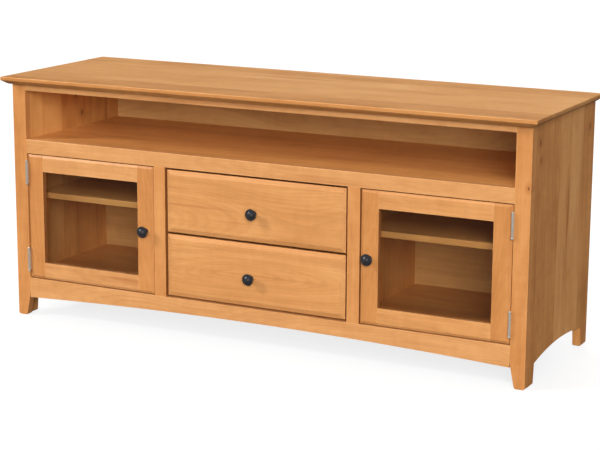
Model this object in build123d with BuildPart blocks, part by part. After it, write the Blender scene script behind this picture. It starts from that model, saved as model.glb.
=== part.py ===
from build123d import *
from math import asin, degrees
import os

os.makedirs("parts", exist_ok=True)

# Console television cabinet. Millimetres, X to the right, front faces -Y, Z up, floor at Z = 0.
# Every depth below is counted from the front plane of the face frame.

# ---- overall ----
overall_width = 1390.0
overall_height = 606.0
case_width = 1354.0
case_depth = 428.0
top_thickness = 18.0
top_front_overhang = 26.0
top_bevel_height = 9.5
top_bevel_run = 14.0

# ---- case ----
frame_thickness = 20.0
stile_width = 37.0
mullion_width = 31.0
drawer_bay_half = 241.5
bottom_rail_top = 98.0
middle_rail_bottom = 416.0
middle_rail_top = 451.0
top_rail_bottom = 572.0
rail_arch_spring = 47.0
rail_arch_crown = 63.0
foot_taper_start = 60.0
foot_taper = 11.5
foot_ease = 3.0
foot_underside_ease = 2.0
side_thickness = 20.0
side_arch_front = 58.0
side_arch_rear = 382.0
side_arch_spring = 47.0
side_arch_crown = 62.0
side_foot_taper = 5.0
board_thickness = 18.0
liner_thickness = stile_width - side_thickness
deck_top = 113.0
deck_setback = 21.5
back_thickness = 8.0
media_back_depth = 418.0
lower_back_depth = 352.0
cleat = 18.0

# ---- adjustable shelves ----
shelf_thickness = 15.0
shelf_top = 313.0
shelf_front = 40.0
shelf_rear = 347.0
shelf_end_gap = 1.5
pin_radius = 2.5
pin_hole_depth = 9.0
pin_pitch = 42.0
pin_front = 75.0
pin_rear = 312.0

# ---- doors ----
door_gap = 2.5
door_stile = 44.0
door_rail = 41.0
door_chamfer_width = 6.0
door_chamfer_depth = 3.0
glass_depth = 13.5
glass_thickness = 3.0
rabbet_width = 8.0
stop_width = 5.0
stop_gap = 0.2
glass_gap = 1.0

# ---- hinges ----
hinge_height = 51.0
hinge_from_end = 45.5
hinge_axis_proud = 3.4
knuckle_radius = 3.2
pin_hole_radius = 1.5
hinge_pin_radius = 1.45
finial_radius = 3.4
leaf_thickness = 1.6
leaf_mortise = 0.6
leaf_depth = 18.0
knuckle_gap = 0.15

# ---- drawers ----
drawer_gap = 5.0
front_chamfer_width = 11.0
front_chamfer_depth = 4.0
box_side_thickness = 12.0
box_height = 120.0
box_rear = 330.0
box_bottom_thickness = 6.0
box_bottom_lift = 10.0
lower_box_bottom = 120.0
upper_box_bottom = 274.0

# ---- slides ----
slide_space = 13.0
slide_length = 300.0
slide_front = 25.0
slide_height = 35.0
slide_sheet = 1.6
slide_clearance = 1.0

# ---- knobs ----
knob_radius = 14.0
knob_projection = 24.0
knob_foot_radius = 7.0
drawer_knob_drop = 7.0
lower_knob_offset = 8.0
door_knob_drop = 2.0

# ---- derived ----
half_case = case_width / 2
half_frame = half_case - stile_width
overall_depth = case_depth + top_front_overhang
face_y = -overall_depth / 2 + top_front_overhang
top_underside = overall_height - top_thickness
mullion_outer = drawer_bay_half + mullion_width
partition_outer = drawer_bay_half + board_thickness
side_inner = half_case - side_thickness
door_bottom = bottom_rail_top + door_gap
door_top = middle_rail_bottom - door_gap
drawer_bottom = bottom_rail_top + drawer_gap
door_inner = mullion_outer + door_gap
door_outer = half_frame - door_gap
door_middle = (door_bottom + door_top) / 2
hinge_x = half_frame - door_gap / 2
hinge_y = face_y - hinge_axis_proud
drawer_front_height = (middle_rail_bottom - bottom_rail_top - 3 * drawer_gap) / 2
drawer_front_half = drawer_bay_half - drawer_gap
box_half = drawer_bay_half - slide_space
upper_front_bottom = drawer_bottom + drawer_front_height + drawer_gap
pin_level = shelf_top - shelf_thickness - pin_radius
sides = (("left", -1), ("right", 1))


def slab(x0, x1, d0, d1, z0, z1, mode=Mode.ADD):
    """Rectangular block between two X values, two depths and two heights."""
    with Locations(((x0 + x1) / 2, face_y + (d0 + d1) / 2, (z0 + z1) / 2)):
        Box(abs(x1 - x0), d1 - d0, z1 - z0, mode=mode)


def finish(piece, name):
    """Name a finished piece and write its file."""
    piece.part.label = name
    export_step(piece.part, "parts/" + name + ".step")


# ---------------------------------------------------------------- top
with BuildPart() as top_panel:
    with Locations((0, 0, top_underside + top_thickness / 2)):
        Box(overall_width, overall_depth, top_thickness)
    underside = top_panel.faces().sort_by(Axis.Z)[0]
    under_edges = underside.edges().sort_by(Axis.Y)[:-1]
    chamfer(under_edges, length=top_bevel_run, length2=top_bevel_height, reference=underside)
    top_edges = top_panel.faces().sort_by(Axis.Z)[-1].edges().sort_by(Axis.Y)[:-1]
    chamfer(top_edges, length=1.2)
finish(top_panel, "top_panel")

# ---------------------------------------------------------------- face frame
for side, sign in sides:
    outer = sign * half_case
    inner = sign * half_frame
    with BuildPart() as front_stile:
        with BuildSketch(Plane.XZ.offset(-face_y)):
            with BuildLine():
                Polyline(
                    (outer, foot_ease),
                    (outer, top_underside),
                    (inner, top_underside),
                    (inner, foot_taper_start),
                    (inner + sign * foot_taper, foot_ease),
                    (inner + sign * (foot_taper + foot_ease), 0),
                    (outer - sign * foot_ease, 0),
                    close=True,
                )
            make_face()
        extrude(amount=-frame_thickness)
        for level in (door_bottom + hinge_from_end, door_top - hinge_from_end):
            slab(
                inner,
                inner + sign * leaf_mortise,
                0,
                leaf_depth,
                level - hinge_height / 2,
                level + hinge_height / 2,
                Mode.SUBTRACT,
            )
    finish(front_stile, side + "_front_stile")

    with BuildPart() as mullion:
        slab(
            sign * drawer_bay_half,
            sign * mullion_outer,
            0,
            frame_thickness,
            bottom_rail_top,
            middle_rail_bottom,
        )
    finish(mullion, side + "_mullion")

with BuildPart() as top_rail:
    slab(-half_frame, half_frame, 0, frame_thickness, top_rail_bottom, top_underside)
    eased = top_rail.edges().filter_by(Axis.X).group_by(Axis.Y)[0].sort_by(Axis.Z)[0]
    chamfer(eased, length=1.0)
finish(top_rail, "top_rail")

with BuildPart() as middle_rail:
    slab(-half_frame, half_frame, 0, frame_thickness, middle_rail_bottom, middle_rail_top)
    eased = middle_rail.edges().filter_by(Axis.X).group_by(Axis.Y)[0].sort_by(Axis.Z)[-1]
    chamfer(eased, length=1.0)
finish(middle_rail, "middle_rail")

with BuildPart() as bottom_rail:
    with BuildSketch(Plane.XZ.offset(-face_y)):
        with BuildLine():
            Polyline(
                (-half_frame, rail_arch_spring),
                (-half_frame, bottom_rail_top),
                (half_frame, bottom_rail_top),
                (half_frame, rail_arch_spring),
            )
            ThreePointArc(
                (-half_frame, rail_arch_spring),
                (0, rail_arch_crown),
                (half_frame, rail_arch_spring),
            )
        make_face()
    extrude(amount=-frame_thickness)
finish(bottom_rail, "bottom_rail")

# ---------------------------------------------------------------- ends of the case
pin_levels = [pin_level + step * pin_pitch for step in (-2, -1, 0, 1)]

for side, sign in sides:
    with BuildPart() as side_panel:
        with BuildSketch(Plane.YZ.offset(sign * half_case)):
            with BuildLine():
                Polyline(
                    (face_y + side_arch_front, side_arch_spring),
                    (face_y + side_arch_front - side_foot_taper, 0),
                    (face_y + frame_thickness, 0),
                    (face_y + frame_thickness, top_underside),
                    (face_y + case_depth, top_underside),
                    (face_y + case_depth, 0),
                    (face_y + side_arch_rear + side_foot_taper, 0),
                    (face_y + side_arch_rear, side_arch_spring),
                )
                ThreePointArc(
                    (face_y + side_arch_rear, side_arch_spring),
                    (face_y + (side_arch_front + side_arch_rear) / 2, side_arch_crown),
                    (face_y + side_arch_front, side_arch_spring),
                )
            make_face()
        extrude(amount=-sign * side_thickness)
        chamfer(side_panel.faces().group_by(Axis.Z)[0].edges(), length=foot_underside_ease)
    finish(side_panel, side + "_side_panel")

    with BuildPart() as side_liner:
        slab(
            sign * half_frame,
            sign * side_inner,
            frame_thickness,
            media_back_depth + back_thickness,
            deck_top - board_thickness,
            top_underside,
        )
        for depth in (pin_front, pin_rear):
            for level in pin_levels:
                with Locations(Plane.YZ.offset(sign * half_frame)):
                    with Locations((face_y + depth, level)):
                        Cylinder(pin_radius, 2 * pin_hole_depth, mode=Mode.SUBTRACT)
    finish(side_liner, side + "_side_liner")

    with BuildPart() as partition:
        slab(
            sign * drawer_bay_half,
            sign * partition_outer,
            frame_thickness,
            lower_back_depth,
            deck_top,
            middle_rail_top - board_thickness,
        )
        for depth in (pin_front, pin_rear):
            for level in pin_levels:
                with Locations(Plane.YZ.offset(sign * partition_outer)):
                    with Locations((face_y + depth, level)):
                        Cylinder(pin_radius, 2 * pin_hole_depth, mode=Mode.SUBTRACT)
    finish(partition, side + "_partition")

# ---------------------------------------------------------------- boards inside the case
with BuildPart() as media_shelf:
    slab(
        -half_frame,
        half_frame,
        frame_thickness,
        media_back_depth,
        middle_rail_top - board_thickness,
        middle_rail_top,
    )
finish(media_shelf, "media_shelf")

with BuildPart() as bottom_deck:
    slab(
        -half_frame,
        half_frame,
        deck_setback,
        media_back_depth + back_thickness,
        deck_top - board_thickness,
        deck_top,
    )
finish(bottom_deck, "bottom_deck")

with BuildPart() as media_back_panel:
    slab(
        -half_frame,
        half_frame,
        media_back_depth,
        media_back_depth + back_thickness,
        middle_rail_top - board_thickness,
        top_underside,
    )
finish(media_back_panel, "media_back_panel")

with BuildPart() as lower_back_panel:
    slab(
        -half_frame,
        half_frame,
        lower_back_depth,
        lower_back_depth + back_thickness,
        deck_top,
        middle_rail_top - board_thickness,
    )
finish(lower_back_panel, "lower_back_panel")

with BuildPart() as deck_cleats:
    for depth in (frame_thickness, media_back_depth + back_thickness - cleat):
        slab(
            -half_frame,
            half_frame,
            depth,
            depth + cleat,
            deck_top - board_thickness - cleat,
            deck_top - board_thickness,
        )
finish(deck_cleats, "deck_cleats")

# ---------------------------------------------------------------- adjustable shelves
for side, sign in sides:
    with BuildPart() as adjustable_shelf:
        slab(
            sign * (partition_outer + shelf_end_gap),
            sign * (half_frame - shelf_end_gap),
            shelf_front,
            shelf_rear,
            shelf_top - shelf_thickness,
            shelf_top,
        )
        long_edges = adjustable_shelf.edges().filter_by(Axis.X).group_by(Axis.Y)[0]
        chamfer(long_edges, length=1.0)
    finish(adjustable_shelf, side + "_adjustable_shelf")

with BuildPart() as shelf_pins:
    for side, sign in sides:
        for depth in (pin_front, pin_rear):
            for wall, outward in ((partition_outer, -1), (half_frame, 1)):
                tip = sign * (wall + outward * pin_hole_depth)
                free_end = sign * (wall - outward * pin_hole_depth)
                with Locations(((tip + free_end) / 2, face_y + depth, pin_level)):
                    Cylinder(pin_radius, 2 * pin_hole_depth, rotation=(0, 90, 0))
finish(shelf_pins, "shelf_pins")

# ---------------------------------------------------------------- door hinges
knuckle = hinge_height / 5


def hinge_leaf(sign, level, on_case):
    """One butt-hinge leaf: a plate and its knuckles, on the case or on the door."""
    toward = sign if on_case else -sign
    plate_face = sign * half_frame if on_case else sign * door_outer
    plate_out = plate_face + toward * leaf_mortise
    plate_in = plate_out - toward * leaf_thickness
    low = level - hinge_height / 2
    mine = (0, 2, 4) if on_case else (1, 3)
    others = (1, 3) if on_case else (0, 2, 4)
    slab(plate_in, plate_out, -hinge_axis_proud, leaf_depth, low, low + hinge_height)
    for place in others:
        start = low + place * knuckle - (knuckle_gap if place > 0 else 0.5)
        end = low + (place + 1) * knuckle + (knuckle_gap if place < 4 else 0.5)
        slab(
            sign * hinge_x - 6,
            sign * hinge_x + 6,
            -hinge_axis_proud - 6,
            0.4,
            start,
            end,
            Mode.SUBTRACT,
        )
    for place in mine:
        with Locations((sign * hinge_x, hinge_y, low + (place + 0.5) * knuckle)):
            Cylinder(knuckle_radius, knuckle - knuckle_gap)
    with Locations((sign * hinge_x, hinge_y, level)):
        Cylinder(pin_hole_radius, hinge_height + 2, mode=Mode.SUBTRACT)


hinge_levels = (door_bottom + hinge_from_end, door_top - hinge_from_end)

for side, sign in sides:
    with BuildPart() as case_leaves:
        for level in hinge_levels:
            hinge_leaf(sign, level, True)
    finish(case_leaves, side + "_case_hinge_leaves")

    with BuildPart() as door_leaves:
        for level in hinge_levels:
            hinge_leaf(sign, level, False)
    finish(door_leaves, side + "_door_hinge_leaves")

with BuildPart() as hinge_pins:
    for side, sign in sides:
        for level in hinge_levels:
            with Locations((sign * hinge_x, hinge_y, level)):
                Cylinder(hinge_pin_radius, hinge_height + 2)
            for up in (-1, 1):
                ball_centre = level + up * (hinge_height / 2 + finial_radius * 0.8)
                with Locations((sign * hinge_x, hinge_y, ball_centre)):
                    Sphere(finial_radius)
            with Locations((sign * hinge_x, hinge_y, level)):
                Cylinder(finial_radius + 1, hinge_height, mode=Mode.SUBTRACT)
            with Locations((sign * hinge_x, hinge_y, level)):
                Cylinder(hinge_pin_radius, hinge_height + 2)
finish(hinge_pins, "hinge_pins")


# ---------------------------------------------------------------- knobs
def knob_profile(x, z):
    """Half outline of a turned mushroom knob with a ringed face, standing on the front plane."""
    rim = face_y - 16.0
    tip = face_y - knob_projection
    dome_edge = knob_radius - 3.8
    dome_height = 5.1
    dome_radius = (dome_edge**2 + dome_height**2) / (2 * dome_height)
    dome_angle = degrees(asin(dome_edge / dome_radius))
    with BuildSketch(Plane.XY.offset(z)) as profile:
        with BuildLine():
            Polyline(
                (x, tip),
                (x, face_y),
                (x + knob_foot_radius, face_y),
                (x + knob_foot_radius, face_y - 2.0),
                (x + 5.5, face_y - 4.0),
                (x + 5.5, face_y - 7.0),
            )
            ThreePointArc((x + 5.5, face_y - 7.0), (x + 7.6, face_y - 12.2), (x + knob_radius, rim))
            Polyline(
                (x + knob_radius, rim),
                (x + knob_radius, rim - 1.6),
                (x + knob_radius - 1.8, rim - 3.6),
                (x + knob_radius - 3.0, rim - 3.6),
                (x + dome_edge, tip + dome_height),
            )
            CenterArc((x, tip + dome_radius), dome_radius, -90, dome_angle)
        make_face()
    return profile.sketch


# ---------------------------------------------------------------- doors
sight_outer = door_outer - door_stile
sight_inner = door_inner + door_stile
sight_bottom = door_bottom + door_rail
sight_top = door_top - door_rail


def rabbet(sign):
    """Recess behind the sight opening that takes the glass and its stops."""
    slab(
        sign * (sight_inner - rabbet_width),
        sign * (sight_outer + rabbet_width),
        glass_depth,
        frame_thickness,
        sight_bottom - rabbet_width,
        sight_top + rabbet_width,
        Mode.SUBTRACT,
    )


def ease_front(piece, chosen):
    """Flat chamfer along chosen front edges of a frame member."""
    face = piece.faces().sort_by(Axis.Y)[0]
    chamfer(chosen, length=door_chamfer_width, length2=door_chamfer_depth, reference=face)


for side, sign in sides:
    with BuildPart() as hinge_stile:
        slab(
            sign * sight_outer,
            sign * door_outer,
            0,
            frame_thickness,
            door_bottom,
            door_top,
        )
        front_edges = hinge_stile.faces().sort_by(Axis.Y)[0].edges()
        inner_edge = front_edges.filter_by(Axis.Z).sort_by(Axis.X)[0 if sign > 0 else -1]
        ease_front(hinge_stile, [edge for edge in front_edges if edge != inner_edge])
        rabbet(sign)
        for level in hinge_levels:
            slab(
                sign * (door_outer - leaf_mortise),
                sign * (door_outer + 1),
                0,
                leaf_depth,
                level - hinge_height / 2,
                level + hinge_height / 2,
                Mode.SUBTRACT,
            )
    finish(hinge_stile, side + "_door_hinge_stile")

    with BuildPart() as latch_stile:
        slab(
            sign * door_inner,
            sign * sight_inner,
            0,
            frame_thickness,
            door_bottom,
            door_top,
        )
        front_edges = latch_stile.faces().sort_by(Axis.Y)[0].edges()
        inner_edge = front_edges.filter_by(Axis.Z).sort_by(Axis.X)[-1 if sign > 0 else 0]
        ease_front(latch_stile, [edge for edge in front_edges if edge != inner_edge])
        rabbet(sign)
    finish(latch_stile, side + "_door_latch_stile")

    for name, low, high, outermost in (
        ("top", sight_top, door_top, -1),
        ("bottom", door_bottom, sight_bottom, 0),
    ):
        with BuildPart() as door_rail_piece:
            slab(sign * sight_inner, sign * sight_outer, 0, frame_thickness, low, high)
            front_edges = door_rail_piece.faces().sort_by(Axis.Y)[0].edges()
            ease_front(door_rail_piece, front_edges.filter_by(Axis.X).sort_by(Axis.Z)[outermost])
            rabbet(sign)
        finish(door_rail_piece, side + "_door_" + name + "_rail")

    with BuildPart() as glass:
        slab(
            sign * (sight_inner - rabbet_width + glass_gap),
            sign * (sight_outer + rabbet_width - glass_gap),
            glass_depth,
            glass_depth + glass_thickness,
            sight_bottom - rabbet_width + glass_gap,
            sight_top + rabbet_width - glass_gap,
        )
    finish(glass, side + "_door_glass")

    with BuildPart() as glass_stops:
        stop_front = glass_depth + glass_thickness
        for low in (sight_bottom - rabbet_width, sight_top + rabbet_width - stop_width):
            slab(
                sign * (sight_inner - rabbet_width),
                sign * (sight_outer + rabbet_width),
                stop_front,
                frame_thickness,
                low,
                low + stop_width,
            )
        for near in (sight_inner - rabbet_width, sight_outer + rabbet_width - stop_width):
            slab(
                sign * near,
                sign * (near + stop_width),
                stop_front,
                frame_thickness,
                sight_bottom - rabbet_width + stop_width + stop_gap,
                sight_top + rabbet_width - stop_width - stop_gap,
            )
    finish(glass_stops, side + "_door_glass_stops")

    knob_x = sign * (door_inner + door_stile / 2)
    knob_z = door_middle - door_knob_drop
    outline = knob_profile(knob_x, knob_z)
    with BuildPart() as door_knob:
        revolve(outline, axis=Axis((knob_x, face_y, knob_z), (0, -1, 0)))
    finish(door_knob, side + "_door_knob")

# ---------------------------------------------------------------- drawers
for name, front_bottom, box_bottom, knob_x in (
    ("lower", drawer_bottom, lower_box_bottom, -lower_knob_offset),
    ("upper", upper_front_bottom, upper_box_bottom, 0),
):
    with BuildPart() as drawer_front:
        slab(
            -drawer_front_half,
            drawer_front_half,
            0,
            frame_thickness,
            front_bottom,
            front_bottom + drawer_front_height,
        )
        front_face = drawer_front.faces().sort_by(Axis.Y)[0]
        chamfer(
            front_face.edges(),
            length=front_chamfer_width,
            length2=front_chamfer_depth,
            reference=front_face,
        )
    finish(drawer_front, name + "_drawer_front")

    box_top = box_bottom + box_height
    for side, sign in sides:
        with BuildPart() as box_side:
            slab(
                sign * (box_half - box_side_thickness),
                sign * box_half,
                frame_thickness,
                box_rear,
                box_bottom,
                box_top,
            )
            slab(
                sign * (box_half - box_side_thickness),
                sign * (box_half - box_side_thickness / 2),
                frame_thickness,
                box_rear,
                box_bottom + box_bottom_lift,
                box_bottom + box_bottom_lift + box_bottom_thickness,
                Mode.SUBTRACT,
            )
        finish(box_side, name + "_drawer_" + side + "_side")

    with BuildPart() as box_back:
        slab(
            -box_half + box_side_thickness,
            box_half - box_side_thickness,
            box_rear - box_side_thickness,
            box_rear,
            box_bottom + box_bottom_lift + box_bottom_thickness,
            box_top,
        )
    finish(box_back, name + "_drawer_back")

    with BuildPart() as box_floor:
        slab(
            -box_half + box_side_thickness / 2,
            box_half - box_side_thickness / 2,
            frame_thickness,
            box_rear,
            box_bottom + box_bottom_lift,
            box_bottom + box_bottom_lift + box_bottom_thickness,
        )
    finish(box_floor, name + "_drawer_bottom")

    knob_z = front_bottom + drawer_front_height / 2 - drawer_knob_drop
    outline = knob_profile(knob_x, knob_z)
    with BuildPart() as drawer_knob:
        revolve(outline, axis=Axis((knob_x, face_y, knob_z), (0, -1, 0)))
    finish(drawer_knob, name + "_drawer_knob")


# ---------------------------------------------------------------- drawer slides
def channel(sign, level, web_start, lip_end, half_height, opens_inward):
    """Rolled C-shaped slide member: a web and two lips, on one side of a drawer."""
    for along in (-1, 1):
        lip_low = level + along * half_height - (slide_sheet if along > 0 else 0)
        slab(
            sign * (drawer_bay_half - web_start),
            sign * (drawer_bay_half - lip_end),
            slide_front,
            slide_front + slide_length,
            lip_low,
            lip_low + slide_sheet,
        )
    web = web_start if opens_inward else lip_end - slide_sheet
    slab(
        sign * (drawer_bay_half - web),
        sign * (drawer_bay_half - web - slide_sheet),
        slide_front,
        slide_front + slide_length,
        level - half_height,
        level + half_height,
    )


outer_half = slide_height / 2
middle_half = outer_half - slide_sheet - slide_clearance
inner_half = middle_half - slide_sheet - slide_clearance

for name, box_bottom in (("lower", lower_box_bottom), ("upper", upper_box_bottom)):
    slide_level = box_bottom + box_height / 2
    with BuildPart() as case_channels:
        for side, sign in sides:
            channel(sign, slide_level, 0, 6.4, outer_half, True)
    finish(case_channels, name + "_slide_case_members")

    with BuildPart() as middle_channels:
        for side, sign in sides:
            channel(sign, slide_level, 2.6, 9.6, middle_half, True)
    finish(middle_channels, name + "_slide_middle_members")

    with BuildPart() as drawer_channels:
        for side, sign in sides:
            channel(sign, slide_level, 5.6, slide_space, inner_half, False)
    finish(drawer_channels, name + "_drawer_slide_members")
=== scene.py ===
"""Looks for the console television cabinet.

Procedural woods, glass and metals on the CAD pieces, a pale studio and the camera.
"""

import math
import random

import bpy
from mathutils import Matrix, Vector


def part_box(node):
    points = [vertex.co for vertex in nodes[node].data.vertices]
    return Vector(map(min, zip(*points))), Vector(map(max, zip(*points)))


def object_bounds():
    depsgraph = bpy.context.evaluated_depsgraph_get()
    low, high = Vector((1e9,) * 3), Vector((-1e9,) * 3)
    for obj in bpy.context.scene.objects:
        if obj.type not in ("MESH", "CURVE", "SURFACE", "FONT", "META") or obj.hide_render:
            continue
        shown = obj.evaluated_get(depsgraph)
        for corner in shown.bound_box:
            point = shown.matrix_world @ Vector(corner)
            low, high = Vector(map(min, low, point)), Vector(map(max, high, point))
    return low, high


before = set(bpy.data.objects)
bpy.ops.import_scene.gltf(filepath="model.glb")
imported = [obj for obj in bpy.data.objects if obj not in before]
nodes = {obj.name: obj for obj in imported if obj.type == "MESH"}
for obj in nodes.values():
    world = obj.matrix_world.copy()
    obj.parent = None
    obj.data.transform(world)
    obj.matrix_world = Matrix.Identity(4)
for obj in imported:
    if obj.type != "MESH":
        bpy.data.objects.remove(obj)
cad_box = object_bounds()
scene = bpy.context.scene
scene.view_settings.view_transform = "Standard"
scene.view_settings.look = "None"

# ---------------------------------------------------------------- tones, linear colours
# Each wood has a dark, a middle and a light tone, and the redder tone of its streaks and knots.
HONEY = ((0.51, 0.205, 0.060), (0.67, 0.303, 0.102), (0.79, 0.400, 0.152), (0.43, 0.138, 0.038))
TOP = ((0.55, 0.235, 0.070), (0.70, 0.335, 0.112), (0.81, 0.430, 0.165), (0.48, 0.170, 0.046))
SIDE = ((0.52, 0.205, 0.057), (0.70, 0.312, 0.099), (0.82, 0.415, 0.150), (0.42, 0.130, 0.034))
INNER = ((0.50, 0.195, 0.050), (0.66, 0.295, 0.082), (0.78, 0.390, 0.125), (0.36, 0.110, 0.028))
BACK = ((0.53, 0.270, 0.088), (0.67, 0.375, 0.132), (0.79, 0.480, 0.185), (0.47, 0.225, 0.074))
BOX = ((0.56, 0.350, 0.170), (0.68, 0.460, 0.245), (0.78, 0.560, 0.325), (0.50, 0.290, 0.130))

AXES = {"X": 0, "Y": 1, "Z": 2}
BRIGHTEST_RED = 0.92


def tinted(tones, red, green, blue):
    """The same wood from another tree: each tone multiplied by a colour."""
    return tuple(
        (min(BRIGHTEST_RED, tone[0] * red), tone[1] * green, tone[2] * blue) for tone in tones
    )


RAIL = tinted(HONEY, 1.04, 1.08, 1.16)
STILE = tinted(HONEY, 0.94, 0.87, 0.80)
DARK_DOOR = tinted(HONEY, 0.90, 0.83, 0.74)
LINER = tinted(INNER, 1.12, 1.16, 1.20)
SHELF = tinted(TOP, 1.20, 1.17, 1.05)


# ---------------------------------------------------------------- building node trees
class Graph:
    """The node tree of a material or world, built a step at a time.

    A value is a number, a tuple or another node's output.
    """

    def __init__(self, owner):
        owner.use_nodes = True
        self.owner = owner
        self.tree = owner.node_tree
        self.tree.nodes.clear()

    def put(self, socket, value):
        if isinstance(value, bpy.types.NodeSocket):
            self.tree.links.new(value, socket)
        elif value is not None:
            socket.default_value = value

    def add(self, kind, inputs=(), **settings):
        node = self.tree.nodes.new(kind)
        for key, value in settings.items():
            setattr(node, key, value)
        for key, value in dict(inputs).items():
            self.put(node.inputs[key], value)
        return node

    def math(self, operation, a, b=None, c=None):
        node = self.add("ShaderNodeMath", operation=operation)
        for socket, value in zip(node.inputs, (a, b, c)):
            self.put(socket, value)
        return node.outputs[0]

    def apart(self, vector):
        """The three outputs X, Y and Z of a vector."""
        return self.add("ShaderNodeSeparateXYZ", {0: vector}).outputs

    def times(self, value, factor):
        return self.math("MULTIPLY", value, factor)

    def plus(self, a, b):
        return self.math("ADD", a, b)

    def total(self, *values):
        sum_so_far = values[0]
        for value in values[1:]:
            sum_so_far = self.plus(sum_so_far, value)
        return sum_so_far

    def swing(self, value, amount):
        """A noise's departure from its middle, a half, times amount."""
        return self.math("MULTIPLY_ADD", value, amount, -0.5 * amount)

    def noise(self, place, cells, detail=0.0, roughness=0.5):
        """Smooth noise from 0 to 1 at a place of three values, with so many cells to each one's unit."""
        x, y, z = (self.times(value, count) for value, count in zip(place, cells))
        vector = self.add("ShaderNodeCombineXYZ", {0: x, 1: y, 2: z}).outputs[0]
        inputs = {"Vector": vector, "Scale": 1.0, "Detail": detail, "Roughness": roughness}
        return self.add("ShaderNodeTexNoise", inputs).outputs[0]

    def distance(self, a, b):
        """The length of a flat vector with the components a and b."""
        squares = self.plus(self.math("POWER", a, 2.0), self.math("POWER", b, 2.0))
        return self.math("SQRT", squares)

    def step(self, value, start, end, low=0.0, high=1.0):
        """low at start and high at end, with a smooth change between. start may be above end."""
        node = self.add("ShaderNodeMapRange", interpolation_type="SMOOTHSTEP")
        if start > end:
            start, end, low, high = end, start, high, low
        for socket, number in zip(node.inputs, (value, start, end, low, high)):
            self.put(socket, number)
        return node.outputs[0]

    def ramp(self, value, stops):
        node = self.add("ShaderNodeValToRGB", {0: value})
        elements = node.color_ramp.elements
        while len(elements) < len(stops):
            elements.new(0.5)
        for element, (position, colour) in zip(elements, stops):
            element.position = position
            element.color = (*colour, 1.0)
        return node.outputs[0]

    def mix(self, factor, a, b, blend="MIX"):
        node = self.add("ShaderNodeMix", data_type="RGBA", blend_type=blend)
        for index, value in ((0, factor), (6, a), (7, b)):
            self.put(node.inputs[index], (*value, 1.0) if isinstance(value, tuple) else value)
        return node.outputs[2]

    def bump(self, height, distance, strength):
        inputs = {"Height": height, "Distance": distance, "Strength": strength}
        return self.add("ShaderNodeBump", inputs).outputs[0]

    def finish(self, shader, output="ShaderNodeOutputMaterial"):
        """Gives the last shader to the output, and returns the material or world."""
        self.add(output, {"Surface": shader})
        return self.owner


def edge_distance(graph, place, low, high):
    """How far a point on a box-shaped piece is from its nearest edge."""
    gaps = []
    for axis in range(3):
        middle = (low[axis] + high[axis]) / 2
        half = (high[axis] - low[axis]) / 2
        offset = graph.math("ABSOLUTE", graph.plus(place[axis], -middle))
        gaps.append(graph.math("SUBTRACT", half, offset))
    small = graph.math("MINIMUM", gaps[0], gaps[1])
    large = graph.math("MAXIMUM", gaps[0], gaps[1])
    return graph.math("MAXIMUM", small, graph.math("MINIMUM", large, gaps[2]))


# ---------------------------------------------------------------- materials
# Lengths are in metres, and the cells of a noise are cells a metre unless it says otherwise.
WOOD_CONTRAST = 1.35
MIDDLE_TONE = 0.52
BOARDS_DIFFER = 0.34
LONE_BOARD_DIFFERS = 0.10
LOG_LENGTH = 7.0
GLUE_LINE = 0.0008
RINGS_PER_METRE = 175.0
HEART_BEHIND_FACE = 0.035
HEART_WANDER = 0.16
HEART_SWAY = 0.07
KNOT_FLATTENED = 0.62
KNOT_RAGGEDNESS = 1.1
KNOT_PUSHES_RINGS = 0.011
END_GRAIN = (0.62, 0.52, 0.46)
GAP_SHADE = (0.36, 0.20, 0.11)
WEAR_AND_HIGHLIGHT_FROM_EDGE = 0.0026


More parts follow.
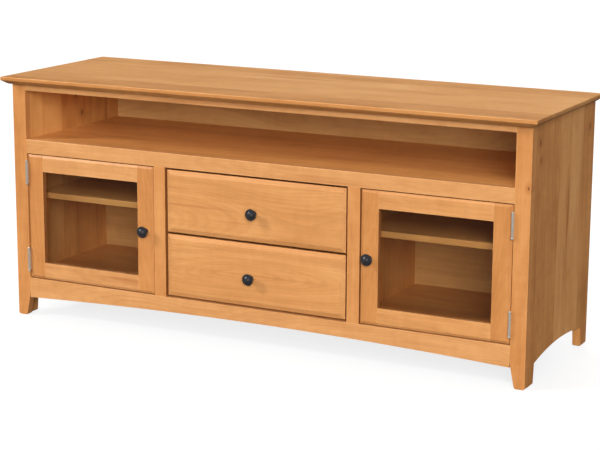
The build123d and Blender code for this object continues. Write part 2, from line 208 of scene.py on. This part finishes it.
def wood(
    name,
    grain,
    face,
    tones,
    board=None,
    figure=1.0,
    contrast=1.0,
    knots=(),
    gloss=0.36,
    painted_gap_shade=False,
):
    """A board or panel of wood.

    grain is the axis that the fibres follow and face the axis through the thickness. board is the
    usual width of the boards that a panel is glued up from, or None for one board. A knot is
    (place along the grain, place across it, radius). The last argument is for a piece whose edges
    stand in narrow gaps: it darkens the sides that face the gaps with painted shade.
    """
    contrast *= WOOD_CONTRAST
    graph = Graph(bpy.data.materials.new(name + "_finish"))
    luck = random.Random(name)
    low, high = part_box(name)
    across_axis = ({0, 1, 2} - {AXES[grain], AXES[face]}).pop()
    source = graph.add("ShaderNodeTexCoord")
    place = graph.apart(source.outputs["Object"])
    outward = graph.apart(source.outputs["Normal"])
    along = place[AXES[grain]]
    across = place[across_axis]
    through = place[AXES[face]]

    # Boards of one panel differ in tone and in where each was cut from its log. The boards reach a
    # thousandth past the panel, so that no point on its edge falls outside the last one.
    width = high[across_axis] - low[across_axis]
    count = max(1, round(width / board)) if board else 1
    pitch = width * 1.001 / count
    position = graph.math("DIVIDE", graph.plus(across, width * 0.0005 - low[across_axis]), pitch)
    index = graph.math("FLOOR", position)
    inside = graph.math("SUBTRACT", position, index)
    local = graph.times(graph.plus(inside, -0.5), pitch)
    seed = graph.plus(index, luck.uniform(3, 90))
    draw = graph.add("ShaderNodeTexWhiteNoise", {"W": seed}, noise_dimensions="1D")
    draws = graph.add("ShaderNodeSeparateColor", {0: draw.outputs["Color"]}).outputs
    shifted = graph.total(along, graph.times(draws[1], LOG_LENGTH), luck.uniform(0, 20))
    grained = (shifted, across, through)

    # Each knot has a dark core and a halo, which bends the growth rings round it.
    core = 0.0
    halo = 0.0
    ragged = graph.noise((along, across, luck.uniform(0, 9)), (90.0, 130.0, 1.0), 2.0)
    for knot_along, knot_across, radius in knots:
        reach = graph.times(graph.plus(along, -knot_along), KNOT_FLATTENED)
        gap = graph.distance(reach, graph.plus(across, -knot_across))
        gap = graph.plus(gap, graph.swing(ragged, radius * KNOT_RAGGEDNESS))
        core = graph.math("MAXIMUM", core, graph.step(gap, radius * 1.05, radius * 0.35))
        halo = graph.math("MAXIMUM", halo, graph.step(gap, radius * 4.2, radius * 0.6))

    # Growth rings about a heart that wanders slowly under the face, which draws the cathedral figure.
    wander = graph.noise(grained, (1.3, 2.5, 2.5), 1.0)
    sway = graph.noise((shifted, index, luck.uniform(0, 9)), (2.1, 3.7, 1.0), 1.0)
    ripple = graph.noise(grained, (16.0, 70.0, 70.0), 2.0)
    heart_across = graph.total(
        local,
        graph.times(graph.plus(draws[2], -0.5), pitch * 0.9),
        graph.swing(sway, HEART_SWAY),
    )
    heart_depth = graph.total(
        graph.plus(through, -(low[AXES[face]] + high[AXES[face]]) / 2),
        graph.math("MULTIPLY_ADD", draws[0], 0.03, HEART_BEHIND_FACE),
        graph.swing(wander, HEART_WANDER * figure),
    )
    radius = graph.distance(heart_across, heart_depth)
    pushed = graph.times(halo, KNOT_PUSHES_RINGS)
    radius = graph.total(radius, graph.swing(ripple, 0.0045), pushed)
    phase = graph.math("FRACT", graph.times(radius, RINGS_PER_METRE))
    ring = graph.math("MULTIPLY", graph.step(phase, 0.25, 0.9), graph.step(phase, 1.0, 0.9))
    band = graph.noise((radius, shifted, luck.uniform(0, 9)), (62.0, 0.7, 1.0), 2.0, 0.6)

    # Fibres, short pores, soft blotches and the faint cross-grain shimmer of a planed face.
    fibre = graph.noise(grained, (16.0, 720.0, 720.0), 2.0, 0.6)
    thread = graph.noise(grained, (3.2, 165.0, 165.0), 2.0, 0.55)
    pore = graph.step(graph.noise(grained, (110.0, 2300.0, 2300.0)), 0.66, 0.76)
    blotch = graph.noise(grained, (5.5, 17.0, 17.0), 3.0, 0.6)
    shimmer = graph.noise(grained, (55.0, 15.0, 15.0), 1.0)
    differ = BOARDS_DIFFER if count > 1 else LONE_BOARD_DIFFERS
    tone = graph.total(
        MIDDLE_TONE,
        graph.swing(band, 0.42 * figure * contrast),
        graph.times(ring, -0.075 * figure * contrast),
        graph.swing(fibre, 0.22 * contrast),
        graph.swing(thread, 0.34 * contrast),
        graph.swing(blotch, 0.66 * contrast),
        graph.swing(shimmer, 0.19 * contrast),
        graph.swing(draws[0], differ * contrast),
    )
    colour = graph.ramp(tone, ((0.0, tones[0]), (MIDDLE_TONE, tones[1]), (1.0, tones[2])))

    # Red streaks, knots, pores, glue lines, end grain, and painted shade on the sides that face narrow
    # gaps.
    streak = graph.noise((shifted, across, luck.uniform(0, 9)), (1.9, 42.0, 1.0), 2.0)
    streak = graph.times(graph.step(streak, 0.60, 0.80), 0.55 * contrast)
    colour = graph.mix(graph.math("MAXIMUM", streak, graph.times(halo, 0.42)), colour, tones[3])
    colour = graph.mix(graph.times(core, 0.85), colour, tuple(0.34 * c for c in tones[3]))
    colour = graph.mix(graph.times(pore, 0.22), colour, tuple(0.55 * c for c in tones[0]))
    if count > 1:
        glue = graph.math("MULTIPLY", graph.math("PINGPONG", position, 0.5), pitch)
        colour = graph.mix(graph.step(glue, GLUE_LINE, 0.0, 0.0, 0.45), colour, tones[3])
    end = graph.step(graph.math("ABSOLUTE", outward[AXES[grain]]), 0.75, 0.9)
    colour = graph.mix(graph.times(end, 0.6), colour, END_GRAIN, "MULTIPLY")
    # Painted shade: the sides of a piece that face narrow gaps are darkened, as the gaps are dark.
    if painted_gap_shade:
        edgewise = graph.step(graph.math("ABSOLUTE", outward[AXES[face]]), 0.45, 0.15)
        colour = graph.mix(graph.times(edgewise, 0.62), colour, GAP_SHADE, "MULTIPLY")

    # Edges are made a little paler and smoother in patches: partly rubbing wear, partly a painted
    # highlight of the light that eased edges catch.
    edge = edge_distance(graph, place, low, high)
    rub = graph.noise((along, across, through), (24.0, 60.0, 60.0), 2.0)
    near_edge = graph.step(edge, WEAR_AND_HIGHLIGHT_FROM_EDGE, 0.0004)
    wear_and_edge_highlight = graph.math("MULTIPLY", near_edge, graph.step(rub, 0.32, 0.62))
    colour = graph.mix(graph.times(wear_and_edge_highlight, 0.30), colour, tuple(min(1.0, 1.12 * c) for c in tones[2]))

    roughness = graph.total(
        gloss,
        graph.swing(fibre, 0.16),
        graph.swing(blotch, 0.12),
        graph.times(pore, 0.16),
        graph.times(wear_and_edge_highlight, -0.07),
    )
    height = graph.total(
        graph.times(fibre, 0.5),
        graph.times(thread, 0.5),
        graph.times(ring, 0.25),
        graph.times(pore, -0.9),
    )
    shader = graph.add(
        "ShaderNodeBsdfPrincipled",
        {
            "Base Color": colour,
            "Roughness": roughness,
            "Normal": graph.bump(height, 0.00035, 0.35),
            "Specular IOR Level": 0.42,
            "Coat Weight": 0.10,
            "Coat Roughness": 0.22,
        },
    )
    return graph.finish(shader.outputs[0])


def metal(name, base, worn_tone, roughness, brushed, metallic, wear):
    """A metal with fine brushing, small differences in polish and a worn tone in patches.

    brushed is the number of brush marks a metre along each axis.
    """
    graph = Graph(bpy.data.materials.new(name))
    place = graph.apart(graph.add("ShaderNodeTexCoord").outputs["Object"])
    fine = graph.noise(place, brushed, 2.0)
    patch = graph.noise(place, (240.0, 240.0, 240.0), 3.0, 0.6)
    speck = graph.noise(place, (1500.0, 1500.0, 1500.0), 1.0)
    colour = graph.mix(graph.times(graph.step(patch, 0.48, 0.72), wear), base, worn_tone)
    colour = graph.mix(graph.step(speck, 0.62, 0.8, 0.0, 0.35), colour, tuple(0.5 * c for c in base))
    shader = graph.add(
        "ShaderNodeBsdfPrincipled",
        {
            "Base Color": colour,
            "Metallic": metallic,
            "Roughness": graph.total(roughness, graph.swing(fine, 0.22), graph.swing(patch, 0.14)),
            "Normal": graph.bump(graph.plus(fine, graph.times(speck, 0.5)), 0.00008, 0.3),
        },
    )
    return graph.finish(shader.outputs[0])


def clear_glass(name):
    """Window glass that lets the lamps through, with a faint film of dust that dulls it in places."""
    graph = Graph(bpy.data.materials.new(name))
    place = graph.apart(graph.add("ShaderNodeTexCoord").outputs["Object"])
    film = graph.noise(place, (9.0, 9.0, 14.0), 4.0, 0.6)
    wave = graph.noise(place, (3.0, 3.0, 2.0), 1.0)
    glass = graph.add(
        "ShaderNodeBsdfPrincipled",
        {
            "Base Color": (0.968, 0.976, 0.966, 1.0),
            "Transmission Weight": 1.0,
            "IOR": 1.46,
            "Roughness": graph.step(film, 0.45, 0.8, 0.0, 0.05),
            "Normal": graph.bump(wave, 0.0006, 0.12),
        },
    )
    # The lamps pass each face of the pane at 0.70, far less than clear glass lets through, which puts
    # extra painted shade into the compartments behind the doors.
    open_glass = graph.add("ShaderNodeBsdfTransparent", {"Color": (0.70, 0.69, 0.67, 1.0)})
    rays = graph.add("ShaderNodeLightPath").outputs
    through = graph.math("MAXIMUM", rays["Is Shadow Ray"], rays["Is Diffuse Ray"])
    shaders = {0: through, 1: glass.outputs[0], 2: open_glass.outputs[0]}
    return graph.finish(graph.add("ShaderNodeMixShader", shaders).outputs[0])


# ---------------------------------------------------------------- a finish for every piece
bronze = metal(
    "oil_rubbed_bronze",
    base=(0.050, 0.053, 0.062),
    worn_tone=(0.115, 0.090, 0.072),
    roughness=0.36,
    brushed=(900, 900, 900),
    metallic=0.5,
    wear=0.4,
)
nickel = metal(
    "satin_nickel",
    base=(0.77, 0.715, 0.62),
    worn_tone=(0.55, 0.49, 0.40),
    roughness=0.30,
    brushed=(300, 2600, 2600),
    metallic=0.6,
    wear=0.5,
)
steel = metal(
    "zinc_plated_steel",
    base=(0.66, 0.68, 0.70),
    worn_tone=(0.50, 0.51, 0.52),
    roughness=0.32,
    brushed=(2600, 120, 2600),
    metallic=0.65,
    wear=0.4,
)
glass = clear_glass("window_glass")

WOODS = {
    "top_panel": dict(grain="X", face="Z", tones=TOP, board=0.092, contrast=1.1),
    "left_side_panel": dict(
        grain="Z", face="X", tones=SIDE, board=0.082, knots=((0.47, 0.04, 0.006),)
    ),
    "right_side_panel": dict(
        grain="Z",
        face="X",
        tones=SIDE,
        board=0.082,
        contrast=1.15,
        knots=((0.532, 0.192, 0.006), (0.545, -0.150, 0.006), (0.505, -0.142, 0.004)),
    ),
    "left_side_liner": dict(
        grain="Z",
        face="X",
        tones=LINER,
        board=0.135,
        contrast=1.15,
        knots=((0.535, 0.02, 0.008), (0.485, 0.045, 0.006)),
    ),
    "right_side_liner": dict(grain="Z", face="X", tones=LINER, board=0.135),
    "left_front_stile": dict(grain="Z", face="Y", tones=STILE),
    "right_front_stile": dict(grain="Z", face="Y", tones=STILE, knots=((0.452, 0.671, 0.003),)),
    "top_rail": dict(grain="X", face="Y", tones=RAIL),
    "middle_rail": dict(grain="X", face="Y", tones=RAIL, contrast=0.85),
    "bottom_rail": dict(grain="X", face="Y", tones=RAIL),
    "left_mullion": dict(grain="Z", face="Y", tones=STILE, painted_gap_shade=True),
    "right_mullion": dict(grain="Z", face="Y", tones=STILE, painted_gap_shade=True),
    "media_shelf": dict(grain="X", face="Z", tones=SHELF, board=0.13, figure=1.2),
    "left_partition": dict(grain="Z", face="X", tones=INNER),
    "right_partition": dict(grain="Z", face="X", tones=INNER),
    "bottom_deck": dict(grain="X", face="Z", tones=INNER, board=0.13),
    "media_back_panel": dict(grain="X", face="Y", tones=BACK, figure=1.5, contrast=0.8, gloss=0.45),
    "lower_back_panel": dict(grain="X", face="Y", tones=BACK, figure=1.5, contrast=0.8, gloss=0.45),
    "left_adjustable_shelf": dict(grain="X", face="Z", tones=SHELF),
    "right_adjustable_shelf": dict(grain="X", face="Z", tones=SHELF),
    "deck_cleats": dict(grain="X", face="Y", tones=INNER, gloss=0.5),
}
for side, upright, crosswise in (("left", STILE, RAIL), ("right", DARK_DOOR, HONEY)):
    for stile in ("hinge_stile", "latch_stile"):
        WOODS[f"{side}_door_{stile}"] = dict(grain="Z", face="Y", tones=upright, painted_gap_shade=True)
    for rail in ("top_rail", "bottom_rail"):
        WOODS[f"{side}_door_{rail}"] = dict(grain="X", face="Y", tones=crosswise, painted_gap_shade=True)
    WOODS[f"{side}_door_glass_stops"] = dict(grain="Z", face="Y", tones=upright)
for drawer in ("lower", "upper"):
    WOODS[f"{drawer}_drawer_front"] = dict(
        grain="X", face="Y", tones=HONEY, figure=1.3, contrast=0.8, painted_gap_shade=True
    )
    for flank in ("left_side", "right_side"):
        WOODS[f"{drawer}_drawer_{flank}"] = dict(grain="Y", face="X", tones=BOX, gloss=0.45)
    WOODS[f"{drawer}_drawer_back"] = dict(grain="X", face="Y", tones=BOX, gloss=0.45)
    WOODS[f"{drawer}_drawer_bottom"] = dict(grain="X", face="Z", tones=BOX, figure=1.5, gloss=0.45)


def plain_finish(name):
    """The finish of a piece that isn't wood, from its name."""
    if name.endswith("_glass"):
        return glass
    if name.endswith("_knob"):
        return bronze
    if "hinge" in name or name == "shelf_pins":
        return nickel
    return steel


def ease(piece, width):
    """Rounds a piece's sharp edges.

    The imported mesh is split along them, so its corners are joined first.
    """
    weld = piece.modifiers.new("join", "WELD")
    weld.merge_threshold = 0.00002
    bevel = piece.modifiers.new("ease", "BEVEL")
    bevel.width = width
    bevel.segments = 2
    bevel.limit_method = "ANGLE"
    bevel.angle_limit = math.radians(28)


USUAL_EASE = 0.0004
EASED = {"top_panel": 0.0008, "lower_drawer_front": 0.0008, "upper_drawer_front": 0.0008}
SHARP = ("deck_cleats", "lower_back_panel", "media_back_panel", "bottom_deck")

for name, piece in nodes.items():
    finish = wood(name, **WOODS[name]) if name in WOODS else plain_finish(name)
    if name in WOODS and name not in SHARP:
        ease(piece, EASED.get(name, USUAL_EASE))
    if not piece.material_slots:
        piece.data.materials.append(finish)
    for slot in piece.material_slots:
        slot.material = finish

# ---------------------------------------------------------------- studio
FLOOR_RADIUS = 60.0
FLOOR_CORNERS = 96
FLOOR_DROP = 0.0005
ONE_PANE_DEPTH = 2.5
HORIZON_STRENGTH = 0.14
ZENITH_STRENGTH = 0.36
REFLECTIONS_LOSE = 0.70


def seen_directly(graph):
    """1 for a ray from the camera, also through one pane of glass, and 0 for every other ray."""
    rays = graph.add("ShaderNodeLightPath").outputs
    near = graph.math("LESS_THAN", rays["Ray Depth"], ONE_PANE_DEPTH)
    through = graph.math("MULTIPLY", rays["Is Transmission Ray"], near)
    return graph.math("MAXIMUM", rays["Is Camera Ray"], through)


# The floor is white paper where the camera sees it and nearly black to the light that it would bounce.
paper = Graph(bpy.data.materials.new("studio_paper"))
paper_place = paper.apart(paper.add("ShaderNodeTexCoord").outputs["Object"])
paper_cloud = paper.noise((paper_place[0], paper_place[1], 0.0), (1.5, 1.5, 1.0), 2.0)
paper_seen = paper.add(
    "ShaderNodeBsdfPrincipled",
    {
        "Base Color": paper.ramp(paper_cloud, ((0.0, (0.25, 0.25, 0.25)), (1.0, (0.27, 0.27, 0.27)))),
        "Roughness": 0.9,
        "Specular IOR Level": 0.1,
        "Emission Color": (1.0, 1.0, 1.0, 1.0),
        "Emission Strength": 0.79,
    },
)
paper_unseen = paper.add("ShaderNodeBsdfDiffuse", {"Color": (0.05, 0.05, 0.05, 1.0)})
paper_both = paper.add(
    "ShaderNodeMixShader",
    {0: seen_directly(paper), 1: paper_unseen.outputs[0], 2: paper_seen.outputs[0]},
)

angles = [2 * math.pi * corner / FLOOR_CORNERS for corner in range(FLOOR_CORNERS)]
rim = [(FLOOR_RADIUS * math.cos(angle), FLOOR_RADIUS * math.sin(angle), 0.0) for angle in angles]
floor_mesh = bpy.data.meshes.new("studio_floor")
floor_mesh.from_pydata(rim, [], [tuple(range(FLOOR_CORNERS))])
floor_mesh.materials.append(paper.finish(paper_both.outputs[0]))
floor = bpy.data.objects.new("studio_floor", floor_mesh)
floor.location.z = cad_box[0][2] - FLOOR_DROP
scene.collection.objects.link(floor)


def sun(name, towards, strength, spread, mirrored):
    """A soft parallel light that shines the way that towards points.

    strength is in watts a square metre and spread in degrees. mirrored says whether a gloss shows it.
    """
    data = bpy.data.lights.new(name, "SUN")
    data.energy = strength
    data.angle = math.radians(spread)
    lamp = bpy.data.objects.new(name, data)
    lamp.rotation_euler = Vector(towards).to_track_quat("-Z", "Y").to_euler()
    lamp.visible_glossy = mirrored
    scene.collection.objects.link(lamp)


sun("key", (0.72, 0.46, -0.52), strength=1.65, spread=11, mirrored=True)
sun("front_softbox", (-0.46, 0.83, -0.325), strength=2.46, spread=30, mirrored=False)
sun("overhead_softbox", (0.05, -0.22, -0.97), strength=0.60, spread=30, mirrored=True)
sun("glint", (-0.36, 0.92, -0.14), strength=0.83, spread=40, mirrored=True)
sun("rear_softbox", (0.34, -0.86, -0.38), strength=1.45, spread=30, mirrored=False)

# The studio is brighter overhead than at the sides. It is dimmer in reflections, so that the lacquer
# isn't veiled, and even and pale where the camera sees it.
sky = Graph(bpy.data.worlds.new("studio"))
height = sky.apart(sky.add("ShaderNodeTexCoord").outputs["Generated"])["Z"]
brightness = sky.add(
    "ShaderNodeMapRange",
    {"Value": height, "To Min": HORIZON_STRENGTH, "To Max": ZENITH_STRENGTH},
).outputs[0]
rays = sky.add("ShaderNodeLightPath").outputs
share = sky.math("MULTIPLY_ADD", rays["Is Glossy Ray"], -REFLECTIONS_LOSE, 1.0)
lighting = sky.add(
    "ShaderNodeBackground",
    {"Color": (1.0, 0.995, 0.985, 1.0), "Strength": sky.math("MULTIPLY", brightness, share)},
)
backdrop = sky.add("ShaderNodeBackground", {"Color": (0.98, 0.98, 0.98, 1.0)})
sky_both = sky.add(
    "ShaderNodeMixShader",
    {0: seen_directly(sky), 1: lighting.outputs[0], 2: backdrop.outputs[0]},
)
scene.world = sky.finish(sky_both.outputs[0], "ShaderNodeOutputWorld")

# ---------------------------------------------------------------- camera
# Solved from the photograph's straight edges, with the lens shift held at zero.
CAMERA_PLACE = (1.925582, -3.746528, 1.203889)
CAMERA_LENS = 106.332
CAMERA_SENSOR = 36.0
azimuth = math.radians(26.976)
elevation = math.radians(12.604)
roll = math.radians(0.311)
level_forward = Vector((-math.sin(azimuth), math.cos(azimuth), 0.0))
forward = level_forward * math.cos(elevation) - Vector((0.0, 0.0, math.sin(elevation)))
right = Vector((math.cos(azimuth), math.sin(azimuth), 0.0))
upward = right.cross(forward)
local_x = right * math.cos(roll) + upward * math.sin(roll)
local_y = upward * math.cos(roll) - right * math.sin(roll)
turn = Matrix((local_x, local_y, -forward)).transposed().to_4x4()
lens_data = bpy.data.cameras.new("camera")
lens_data.sensor_width = CAMERA_SENSOR
lens_data.lens = CAMERA_LENS
lens_data.clip_end = 200.0
camera = bpy.data.objects.new("camera", lens_data)
camera.matrix_world = Matrix.Translation(CAMERA_PLACE) @ turn
scene.collection.objects.link(camera)
scene.camera = camera
